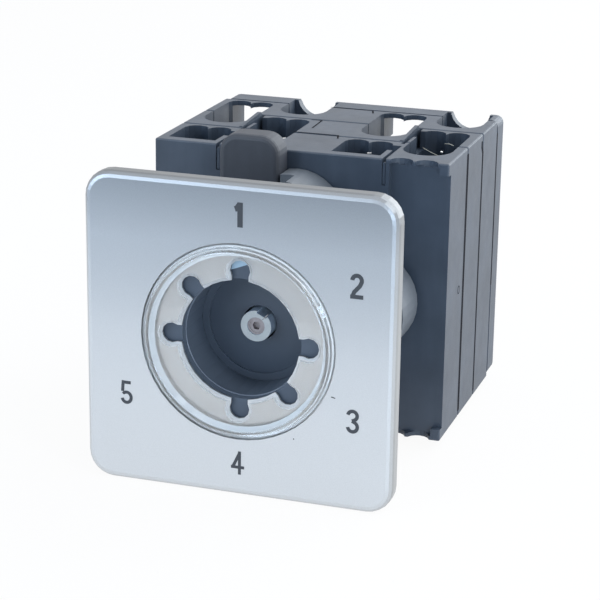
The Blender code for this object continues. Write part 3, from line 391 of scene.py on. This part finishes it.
def moulding(name, dark, light, roughness=(0.36, 0.5), smear=0.5, specular=0.5):
    """Moulded thermoplastic: spark-eroded grain, faint upright flow marks and dusty patches."""
    finish = Finish(name, roughness[0])
    finish.set(Specular_IOR_Level=specular)
    cloud = finish.noise(CLOUD, detail=4.0)
    streak = finish.noise(STREAK, stretch=(1, 1, STREAK_STRETCH))
    body = finish.mix(finish.spread(cloud, *CLOUD_REACH), dark, light)
    dusty = tuple(min(1.0, c * DUST_GAIN + DUST_LIFT) for c in light)
    patch = finish.mix(1.0, streak, cloud, "MULTIPLY")
    patch = finish.spread(patch, *(share * smear for share in DUST_REACH))
    finish.colour(finish.mix(patch, body, dusty))
    finish.rough(finish.noise(GLOSS_PATCH, detail=5.0), *roughness)
    finish.bump((finish.noise(GRAIN, detail=2.0), GRAIN_DEPTH),
                (finish.noise(SINK, detail=2.0), SINK_DEPTH))
    return finish.material


def bore_finish():
    """Black moulding of the bore: grained faces, and walls painted lighter, as painted light for
    the stray light they gather.
    """
    finish = Finish("bore_moulding", 0.5)
    # Painted light: walls take a lighter colour than faces
    walls = finish.mix(finish.noise(GLOSS_PATCH), *BORE_WALLS_PAINTED_LIGHT)
    faces = finish.mix(finish.noise(GLOSS_PATCH), *BORE_FACES)
    bore = finish.mix(finish.facing(), walls, faces)
    finish.colour(finish.mix(finish.outside(BORE_RADIUS), bore, faces))
    finish.rough(finish.noise(GLOSS_PATCH, detail=5.0), *BORE_ROUGHNESS)
    finish.bump((finish.noise(GRAIN, detail=2.0), FINE_GRAIN_DEPTH))
    return finish.material


def silver_finish():
    """Satin silver lacquer, fine metallic speckle; painted shade darkens it towards the top and on
    its side.
    """
    finish = Finish("satin_silver_lacquer", 0.36, 0.75)
    # Painted shade: darker colour towards the top of the plate
    height = finish.spread(finish.axis(finish.place, "Z"), 0.0, 1.0, PLATE_LOW.z, PLATE_HIGH.z)
    painted_shade_by_height = finish.ramp(height, *SILVER_PAINTED_SHADE_BY_HEIGHT)
    # Painted shade: darker colour on the plate's side
    edge = finish.ramp(finish.facing(), *SILVER_SIDE_PAINTED_SHADE)
    speckle = finish.ramp(finish.noise(SPECKLE, detail=1.0), *SILVER_SPECKLE)
    toned = finish.mix(1.0, painted_shade_by_height, edge, "MULTIPLY")
    finish.colour(finish.mix(1.0, toned, speckle, "MULTIPLY"))
    finish.rough(finish.noise(LACQUER_GLOSS_PATCH), *SILVER_ROUGHNESS)
    finish.bump((finish.noise(LACQUER_GRAIN, detail=2.0), LACQUER_GRAIN_DEPTH),
                (finish.noise(LACQUER_WAVE, detail=1.0), LACQUER_WAVE_DEPTH))
    return finish.material


def clear_finish():
    """Clear moulding, glossy on its faces, and frosted and milky on its cut walls."""
    finish = Finish("clear_moulding", 0.03)
    finish.set(IOR=CLEAR_IOR)
    finish.colour(finish.ramp(finish.noise(CLEAR_PATCH), *CLEAR_TINT))
    smear = finish.spread(finish.noise(CLEAR_SMEAR, detail=4.0), *CLEAR_SMEAR_ROUGHNESS)
    frost = finish.ramp(finish.facing(), *FROST_BY_FACING)
    finish.link(finish.mix(1.0, smear, frost, "ADD"), finish.shader.inputs["Roughness"])
    clearness = finish.ramp(finish.facing(), *CLEARNESS_BY_FACING)
    finish.link(clearness, finish.shader.inputs["Transmission Weight"])
    finish.bump((finish.noise(CLEAR_WAVE, detail=2.0), CLEAR_WAVE_DEPTH))
    return finish.material


def metal(name, dark, light, roughness=(0.22, 0.4), metallic=1.0):
    """Plain metal with mottled colour and gloss."""
    finish = Finish(name, roughness[0], metallic)
    finish.colour(finish.mix(finish.noise(METAL_MOTTLE, detail=5.0), dark, light))
    finish.rough(finish.noise(METAL_GLOSS_PATCH, detail=4.0), *roughness)
    finish.bump((finish.noise(METAL_GRAIN, detail=2.0), METAL_GRAIN_DEPTH))
    return finish.material


def shaft_finish():
    """Cast shaft: pale on its end, and a lighter blue on its side in the bore, which is painted
    light.
    """
    finish = Finish("cast_shaft", 0.5, 0.3)
    end = finish.mix(finish.noise(METAL_MOTTLE, detail=5.0), *SHAFT_END)
    # Painted light: the side takes a lighter, bluer colour than the end
    side = finish.mix(finish.noise(METAL_MOTTLE), *SHAFT_SIDE_PAINTED_LIGHT)
    finish.colour(finish.mix(finish.facing(), side, end))
    finish.rough(finish.noise(METAL_GLOSS_PATCH, detail=4.0), *SHAFT_ROUGHNESS)
    finish.bump((finish.noise(METAL_GRAIN, detail=2.0), METAL_GRAIN_DEPTH))
    return finish.material


def ink_finish():
    """Matt printing ink."""
    finish = Finish("number_ink", INK_ROUGHNESS)
    finish.colour(finish.mix(finish.noise(INK_MOTTLE, detail=4.0), *INK_TONES))
    finish.bump((finish.noise(INK_GRAIN), INK_GRAIN_DEPTH))
    return finish.material


# One finish for each material slot of the part: darkest and lightest colour, then gloss to matt
FINISHES = {
    "satin_silver": silver_finish(),
    "clear_moulding": clear_finish(),
    "black_moulding": moulding("black_moulding_grain", (0.033, 0.045, 0.065),
                               (0.050, 0.065, 0.091)),
    "dark_moulding": moulding("dark_moulding_grain", (0.034, 0.037, 0.047), (0.046, 0.050, 0.062),
                              (0.5, 0.62)),
    "grey_moulding": moulding("grey_moulding_grain", (0.112, 0.121, 0.136), (0.145, 0.154, 0.170)),
    "black_rubber": moulding("rubber_grain", (0.018, 0.018, 0.019), (0.03, 0.03, 0.032),
                             (0.7, 0.85)),
    "natural_moulding": moulding("natural_moulding_grain", (0.66, 0.62, 0.5), (0.74, 0.7, 0.58)),
    "plated_steel": metal("zinc_plate", (0.40, 0.41, 0.42), (0.52, 0.52, 0.51), (0.34, 0.5)),
    "brass_strip": metal("brass_sheet", (0.68, 0.5, 0.24), (0.76, 0.6, 0.32)),
    "shaft_metal": shaft_finish(),
}

# Finishes of single nodes and of the small pieces
INK = ink_finish()
BORE = bore_finish()
# Painted shadow: near-black strips for the grooves, parting steps and dimple on the body
SEAM = moulding("seam_shadow", (0.004, 0.004, 0.007), (0.008, 0.008, 0.012), (0.8, 0.95),
                smear=0.1, specular=0.1)
GLOSS = moulding("bore_lip_gloss", (0.10, 0.12, 0.16), (0.13, 0.155, 0.20), (0.24, 0.32),
                 smear=0.1)
POLISHED = metal("polished_edge", (0.80, 0.82, 0.84), (0.92, 0.93, 0.94), (0.12, 0.2))
DULL = metal("dull_clamp_wire", (0.28, 0.29, 0.27), (0.42, 0.43, 0.40), (0.4, 0.6))
TARNISHED = metal("tarnished_screw", (0.20, 0.165, 0.165), (0.40, 0.36, 0.36), (0.45, 0.65),
                  metallic=0.5)
# Painted light: pale blue for the bright patch in the upper notch
PALE_BLUE_PAINTED_LIGHT = moulding("pale_blue_painted_light", (0.27, 0.37, 0.45), (0.33, 0.43, 0.51), (0.4, 0.5),
                     smear=0.1)

SLOT_OF = {entry["node"]: entry["material_slot"] for entry in frame["record"]["subparts"]}
OWN_FINISH = {"mounting_base": BORE, "drive_disc": BORE, "shaft_screw": TARNISHED}
for node_name, node in frame["nodes"].items():
    node_finish = OWN_FINISH.get(node_name, FINISHES[SLOT_OF[node_name]])
    for material_slot in node.material_slots:
        material_slot.material = node_finish


# ---- mesh code -------------------------------------------------------------------------------


def piece(name, bm, finish, body="switch", smooth=True):
    """Turns a finished mesh into a visible piece that rides on a body."""
    mesh = bpy.data.meshes.new(name)
    bmesh.ops.recalc_face_normals(bm, faces=bm.faces)
    bm.to_mesh(mesh)
    bm.free()
    if smooth:
        mesh.shade_smooth()
        mesh.set_sharp_from_angle(angle=math.radians(SHARP_ANGLE))
    obj = bpy.data.objects.new(name, mesh)
    bpy.context.scene.collection.objects.link(obj)
    mesh.materials.append(finish)
    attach(obj, body)


def placed(bm, x=0.0, depth=0.0, height=0.0):
    """Turns a mesh drawn in millimetres into the part's frame."""
    bmesh.ops.scale(bm, vec=(MM, MM, MM), verts=bm.verts)
    bmesh.ops.translate(bm, vec=at(x, depth, height), verts=bm.verts)


def on_flank(bm):
    """Lays ribbons drawn as (depth, height) on the right flank."""
    bmesh.ops.rotate(bm, matrix=Matrix.Rotation(math.radians(90), 3, "Z"), verts=bm.verts)
    placed(bm, BODY_SIDE + SKIN)


def on_top(bm):
    """Lays ribbons drawn as (x, depth) on the top of the cells."""
    bmesh.ops.rotate(bm, matrix=Matrix.Rotation(math.radians(-90), 3, "X"), verts=bm.verts)
    placed(bm, height=BODY_TOP + SKIN)


def stroke(bm, points, width, layer=0.0):
    """A flat ribbon of even width along points in an upright plane, in front of it by the layer."""
    points = [Vector(point) for point in points]
    legs = [(b - a).normalized() for a, b in zip(points, points[1:])]
    sides = []
    for i, point in enumerate(points):
        near = legs[max(i - 1, 0):i + 1]
        along = sum(near, Vector((0, 0))).normalized()
        across = Vector((-along.y, along.x))
        reach = width / 2 / max(MITRE_LIMIT, across.dot(Vector((-near[0].y, near[0].x))))
        sides.append((point + across * reach, point - across * reach))
    rings = [[bm.verts.new((corner.x, -layer, corner.y)) for corner in pair] for pair in sides]
    for (a, b), (c, d) in zip(rings, rings[1:]):
        bm.faces.new((a, b, d, c))


def bend(cx, cz, rx, rz, start, end, steps):
    """Points along part of an ellipse, from one angle to another in degrees."""
    angles = [math.radians(start + (end - start) * i / steps) for i in range(steps + 1)]
    return [(cx + rx * math.cos(a), cz + rz * math.sin(a)) for a in angles]


def band(bm, this, following):
    """Joins two closed rings of corners with faces."""
    for k in range(len(this)):
        m = (k + 1) % len(this)
        bm.faces.new((this[k], this[m], following[m], following[k]))


def revolved(profile, steps=96):
    """Turns a closed (radius, depth) outline round the shaft's axis."""
    bm = bmesh.new()
    rings = []
    for i in range(steps):
        angle = 2 * math.pi * i / steps
        rings.append([bm.verts.new((r * math.cos(angle), depth, r * math.sin(angle)))
                      for r, depth in profile])
    for this, following in zip(rings, rings[1:] + rings[:1]):
        band(bm, this, following)
    placed(bm)
    return bm


def tube(points, radius, sides=10):
    """A round wire through points that share one depth."""
    bm = bmesh.new()
    points = [Vector(point) for point in points]
    rings = []
    for i, point in enumerate(points):
        along = (points[min(i + 1, len(points) - 1)] - points[max(i - 1, 0)]).normalized()
        across = along.cross(Vector((0, 1, 0))).normalized()
        other = along.cross(across)
        rings.append([bm.verts.new(point + radius * (math.cos(2 * math.pi * k / sides) * across
                                                     + math.sin(2 * math.pi * k / sides) * other))
                      for k in range(sides)])
    for this, following in zip(rings, rings[1:]):
        band(bm, this, following)
    bm.faces.new(rings[0])
    bm.faces.new(rings[-1])
    placed(bm)
    return bm


def sheet(outline, thickness, setback):
    """An upright sheet: an outline of (x, height) corners that starts at a depth."""
    bm = bmesh.new()
    front = [bm.verts.new((x, 0, height)) for x, height in outline]
    rear = [bm.verts.new((x, thickness, height)) for x, height in outline]
    bm.faces.new(front)
    bm.faces.new(rear[::-1])
    band(bm, rear, front)
    placed(bm, depth=setback)
    return bm


# ---- small pieces ----------------------------------------------------------------------------


def glyph_strokes(digit):
    """Centre lines of a plain condensed figure, from -h to h and -w to w, with its proportions."""
    end = NUMBER_STROKE / 2
    h = (NUMBER_HEIGHT - NUMBER_STROKE) / 2
    w = (NUMBER_WIDTH - NUMBER_STROKE) / 2
    if digit == "1":
        return [[(0.18, -h - end), (0.18, h + end)],
                [(-0.62, h * 0.52), (-0.28, h * 0.60), (0.10, h * 0.98)]]
    if digit == "2":
        return [bend(0, h - w * 1.05, w, w * 1.05, 178, -18, 16)
                + [(w * 0.62, h * 0.05), (-w * 0.55, -h * 0.55), (-w * 0.9, -h * 0.98)],
                [(-w - end, -h), (w + end, -h)]]
    if digit == "3":
        waist = (-w * 0.15, h * 0.04)
        return [bend(-0.02, h - w, w, w, 172, -62, 14) + [waist],
                [waist] + bend(0, -h + w * 1.08, w * 1.04, w * 1.08, 62, -172, 16)]
    if digit == "4":
        bar = w + NUMBER_STROKE * 0.62
        return [[(w * 0.42, -h - end), (w * 0.42, h + end)],
                [(w * 0.42, h * 0.98), (-w * 1.02, -h * 0.40)],
                [(-bar, -h * 0.44), (bar, -h * 0.44)]]
    return [[(w * 0.98, h), (-w * 0.80, h)],
            [(-w * 0.74, h + end), (-w * 0.92, h * 0.08)],
            [(-w * 0.86, h * 0.02)] + bend(0, -h + w * 1.12, w * 1.04, w * 1.16, 124, -168, 18)]


def make_numbers():
    """Printed figures, as a thin layer of ink on the plate's face."""
    for digit, (x, height) in NUMBER_PLACES.items():
        bm = bmesh.new()
        for number, points in enumerate(glyph_strokes(digit)):
            stroke(bm, points, NUMBER_STROKE * NUMBER_WEIGHTS[digit], number * INK_LAYER)
        placed(bm, x, PLATE_FACE - INK_LIFT, height)
        piece(f"number_{digit}", bm, INK, smooth=False)


def make_ring_crest():
    """The rounded bead on the clear ring's crest, which gathers the bright arcs."""
    arc = bend(BEAD_RADIUS, RING_FACE - BEAD_GAP, BEAD_HALF_WIDTH, -BEAD_RISE, 0, 180, 9)
    piece("ring_crest", revolved(arc), FINISHES["clear_moulding"])


def make_bore_rings():
    """A retaining ring in front of the drive disc's edge and a fine step in the bore's wall."""
    inner = DISC_HIGH.x - RETAINER_INSIDE_RIM
    outer = DISC_HIGH.x + RETAINER_OUTSIDE_RIM
    front = DISC_LOW.y + RETAINER_SETBACK
    rear = front + RETAINER_THICKNESS
    ring = [(inner, rear), (inner, front), (outer, front), (outer, rear)]
    piece("bore_retainer", revolved(ring), BORE)
    step = BASE_FACE + STEP_DEPTH
    root = outer + STEP_ROOT
    crest = outer - STEP_RISE
    lip = [(root, step - STEP_HALF_FOOT), (crest, step - STEP_HALF_CREST),
           (crest, step + STEP_HALF_CREST), (root, step + STEP_HALF_FOOT)]
    piece("bore_step", revolved(lip), GLOSS)


def make_shaft_marks():
    """The bright edge of the key notch, and the seat around the small screw."""
    clock = math.radians(KEY_EDGE_CLOCK)
    edge = [(r * math.sin(clock), SHAFT_FACE - KEY_EDGE_LIFT, r * math.cos(clock))
            for r in KEY_EDGE_RADII]
    piece("key_edge", tube(edge, KEY_EDGE_WIRE), POLISHED, body="rotor")
    front = SHAFT_FACE + SEAT_FRONT
    rear = SHAFT_FACE + SEAT_REAR
    seat = [(SEAT_INNER, front), (SEAT_OUTER, front), (SEAT_OUTER, rear), (SEAT_INNER, rear)]
    piece("screw_seat", revolved(seat), TARNISHED, body="rotor")


def make_groove_ribs():
    """The ribs that stand in the two upright grooves of the body's front, round at the top."""
    for side, line in RIB_LINES.items():
        outline = [(line - RIB_HALF_WIDTH, RIB_LOW), (line + RIB_HALF_WIDTH, RIB_LOW)]
        outline += bend(line, RIB_HIGH, RIB_HALF_WIDTH, RIB_HALF_WIDTH, 0, 180, 8)
        rib = sheet(outline, RIB_THICKNESS, BODY_FRONT + RIB_SETBACK)
        piece(f"front_groove_rib_{side}", rib, FINISHES["black_moulding"])


def make_notch_painted_light():
    """Painted light: a pale sheet for the bright patch seen in the end of the upper notch."""
    light_sheet = sheet(NOTCH_LIGHT_OUTLINE, NOTCH_LIGHT_THICKNESS, BASE_FACE + NOTCH_LIGHT_SETBACK)
    piece("notch_painted_light", light_sheet, PALE_BLUE_PAINTED_LIGHT, smooth=False)


def make_grooves():
    """Painted shadow of the stack's parting grooves on the flank, as dark strips."""
    top = BODY_TOP - GROOVE_TOP_MARGIN
    low = -BODY_TOP + GROOVE_LOW_MARGIN
    first, second, third = SEAMS
    lines = [[(first, low), (first, top)],
             [(second, low), (second, JOG_LOW), (second - JOG, JOG_HIGH), (second - JOG, top)],
             [(third, LAST_GROOVE_LOW), (third, top - LAST_GROOVE_DROP)]]
    for number, (points, width) in enumerate(zip(lines, GROOVE_WIDTHS), 1):
        bm = bmesh.new()
        stroke(bm, points, width)
        on_flank(bm)
        piece(f"flank_groove_shadow_{number}", bm, SEAM, smooth=False)


def make_top_seams():
    """Painted shade of the fine steps of the parting line on the top of the stack, as dark strips.
    """
    bm = bmesh.new()
    for seam, (behind, turn, end, end_depth) in zip(SEAMS, TOP_SEAM_COURSES):
        points = [(TOP_SEAM_LEFT, seam + behind), (turn, seam + behind), (end, seam + end_depth)]
        stroke(bm, points, TOP_SEAM_WIDTH)
    on_top(bm)
    piece("top_seam_shadows", bm, SEAM, smooth=False)


def make_clamp_edges():
    """Bright edges of the clamps in the wells: (x, height) courses at each clamp's depth."""
    right = SEAMS[0] + RIGHT_CLAMP_BEHIND_SEAM
    edges = {
        "clamp_wire_right": (right, [(14.9, 20.2), (16.2, 19.6), (17.5, 19.1)], CLAMP_WIRE, DULL),
        "clamp_tip_right": (right, [(17.9, 19.75), (18.3, 19.7)], 0.18, POLISHED),
        "clamp_arc_right": (right, [(18.5, 21.15), (19.3, 21.2), (20.0, 20.95)], CLAMP_WIRE, DULL),
        "clamp_tip_left": (LEFT_CLAMP_DEPTH, [(-6.6, 21.3), (-6.1, 21.4)], 0.16, POLISHED),
        "clamp_tip_middle": (MIDDLE_CLAMP_DEPTH, [(8.4, 20.8), (9.1, 20.9)], 0.15, POLISHED),
    }
    for name, (depth, course, radius, finish) in edges.items():
        points = [(x, depth, height) for x, height in course]
        piece(name, tube(points, radius), finish)


def make_marks():
    """Two specks on the plate, and a ring of painted shade for the small moulding dimple on the
    flank.
    """
    bm = bmesh.new()
    for speck in SPECKS:
        stroke(bm, speck, MARK_WIDTH)
    placed(bm, depth=PLATE_FACE - INK_LIFT)
    piece("plate_specks", bm, INK, smooth=False)
    bm = bmesh.new()
    stroke(bm, bend(DIMPLE_DEPTH, 0.0, DIMPLE_RADIUS, DIMPLE_RADIUS, 0, 360, 20), MARK_WIDTH)
    on_flank(bm)
    piece("flank_dimple_shadow", bm, SEAM, smooth=False)


# ---- floor, light and camera -----------------------------------------------------------------


def laid_flat(name, width, depth):
    """A level rectangle, its sides in metres."""
    bm = bmesh.new()
    bmesh.ops.create_grid(bm, x_segments=1, y_segments=1, size=0.5)
    bmesh.ops.scale(bm, vec=(width, depth, 1), verts=bm.verts)
    mesh = bpy.data.meshes.new(name)
    bm.to_mesh(mesh)
    bm.free()
    obj = bpy.data.objects.new(name, mesh)
    bpy.context.scene.collection.objects.link(obj)
    return obj


def make_matt(obj, name, tone):
    """Gives a stage object a plain matt material and returns its node tree."""
    material = bpy.data.materials.new(name)
    material.use_nodes = True
    shader = material.node_tree.nodes["Principled BSDF"]
    shader.inputs["Base Color"].default_value = (*tone, 1)
    shader.inputs["Roughness"].default_value = MATT
    obj.data.materials.append(material)
    return material.node_tree


def seen_directly(tree):
    """One for camera, mirror and see-through rays, which show the background as plain white."""
    path = tree.nodes.new("ShaderNodeLightPath")
    total = path.outputs["Is Camera Ray"]
    for name in ("Is Glossy Ray", "Is Transmission Ray"):
        add = tree.nodes.new("ShaderNodeMath")
        add.operation = "MAXIMUM"
        tree.links.new(total, add.inputs[0])
        tree.links.new(path.outputs[name], add.inputs[1])
        total = add.outputs["Value"]
    return total


def make_floor():
    """The pale floor: it takes the object's shadow and is otherwise seen as nearly plain white."""
    floor = laid_flat("floor", FLOOR_SIZE, FLOOR_SIZE)
    floor.location.z = cad_box[0][2] - FLOOR_GAP * MM
    tree = make_matt(floor, "pale_floor", FLOOR_TONE)
    glow = tree.nodes.new("ShaderNodeEmission")
    glow.inputs["Strength"].default_value = 1.0
    share = tree.nodes.new("ShaderNodeMath")
    share.operation = "MULTIPLY"
    share.inputs[1].default_value = FLOOR_GLOW
    mix = tree.nodes.new("ShaderNodeMixShader")
    tree.links.new(seen_directly(tree), share.inputs[0])
    tree.links.new(share.outputs["Value"], mix.inputs["Fac"])
    tree.links.new(tree.nodes["Principled BSDF"].outputs["BSDF"], mix.inputs[1])
    tree.links.new(glow.outputs["Emission"], mix.inputs[2])
    tree.links.new(mix.outputs["Shader"], tree.nodes["Material Output"].inputs["Surface"])


def make_world():
    """Bluish light from all sides, while the background itself shows as white."""
    world = bpy.data.worlds.new("studio")
    bpy.context.scene.world = world
    world.use_nodes = True
    tree = world.node_tree
    ambient = tree.nodes.new("ShaderNodeMix")
    ambient.data_type = "RGBA"
    ambient.inputs[6].default_value = (*(WORLD_LIGHT * tint for tint in AMBIENT_TINT), 1)
    ambient.inputs[7].default_value = (1, 1, 1, 1)
    tree.links.new(seen_directly(tree), ambient.inputs[0])
    tree.links.new(ambient.outputs[2], tree.nodes["Background"].inputs["Color"])


def make_card():
    """A dark card on the table in front, seen only as a reflection: the room's darker side."""
    card = laid_flat("front_card", CARD_WIDTH * MM, CARD_DEPTH * MM)
    make_matt(card, "dark_card", CARD_TONE)
    card.location = (ORIGIN.x, PLATE_LOW.y - (CARD_FRONT + CARD_DEPTH / 2) * MM,
                     cad_box[0][2] + CARD_LIFT * MM)
    for kind in ("camera", "diffuse", "transmission", "shadow", "volume_scatter"):
        setattr(card, f"visible_{kind}", False)


def add_lamp(name, place, size, power, tint):
    """A soft rectangular lamp that looks at the object."""
    lamp = bpy.data.lights.new(name, "AREA")
    lamp.shape = "RECTANGLE"
    lamp.size, lamp.size_y = size
    lamp.energy = power
    lamp.color = tint
    obj = bpy.data.objects.new(name, lamp)
    obj.location = at(*place)
    obj.rotation_euler = (at(*LIGHT_AIM) - obj.location).to_track_quat("-Z", "Y").to_euler()
    bpy.context.scene.collection.objects.link(obj)


def make_camera():
    """The camera stands so that the shaft's axis meets the plate at the photographed pixel."""
    azimuth = math.radians(CAMERA_AZIMUTH)
    elevation = math.radians(CAMERA_ELEVATION)
    roll = math.radians(CAMERA_ROLL)
    back = Vector((math.sin(azimuth) * math.cos(elevation),
                   -math.cos(azimuth) * math.cos(elevation), math.sin(elevation)))
    level = Vector((math.cos(azimuth), math.sin(azimuth), 0))
    upright = back.cross(level)
    right = math.cos(roll) * level + math.sin(roll) * upright
    up = math.cos(roll) * upright - math.sin(roll) * level
    pixel = CAMERA_DISTANCE * MM / FOCAL_PIXELS
    middle = IMAGE_SIZE / 2
    place = ORIGIN + CAMERA_DISTANCE * MM * back
    place += (middle - SHAFT_PIXEL[0]) * pixel * right + (SHAFT_PIXEL[1] - middle) * pixel * up
    data = bpy.data.cameras.new("camera")
    data.sensor_width = SENSOR
    data.lens = SENSOR * FOCAL_PIXELS / IMAGE_SIZE
    data.clip_start = NEAR_CLIP * MM
    camera = bpy.data.objects.new("camera", data)
    turn = Matrix((right, up, back)).transposed().to_4x4()
    camera.matrix_world = Matrix.Translation(place) @ turn
    bpy.context.scene.collection.objects.link(camera)
    bpy.context.scene.camera = camera


# ---- the scene -------------------------------------------------------------------------------

make_numbers()
make_ring_crest()
make_bore_rings()
make_shaft_marks()
make_groove_ribs()
make_notch_painted_light()
make_grooves()
make_top_seams()
make_clamp_edges()
make_marks()

make_floor()
make_world()
make_card()
for lamp_values in LAMPS:
    add_lamp(*lamp_values)
make_camera()
bpy.context.scene.view_settings.view_transform = "Standard"
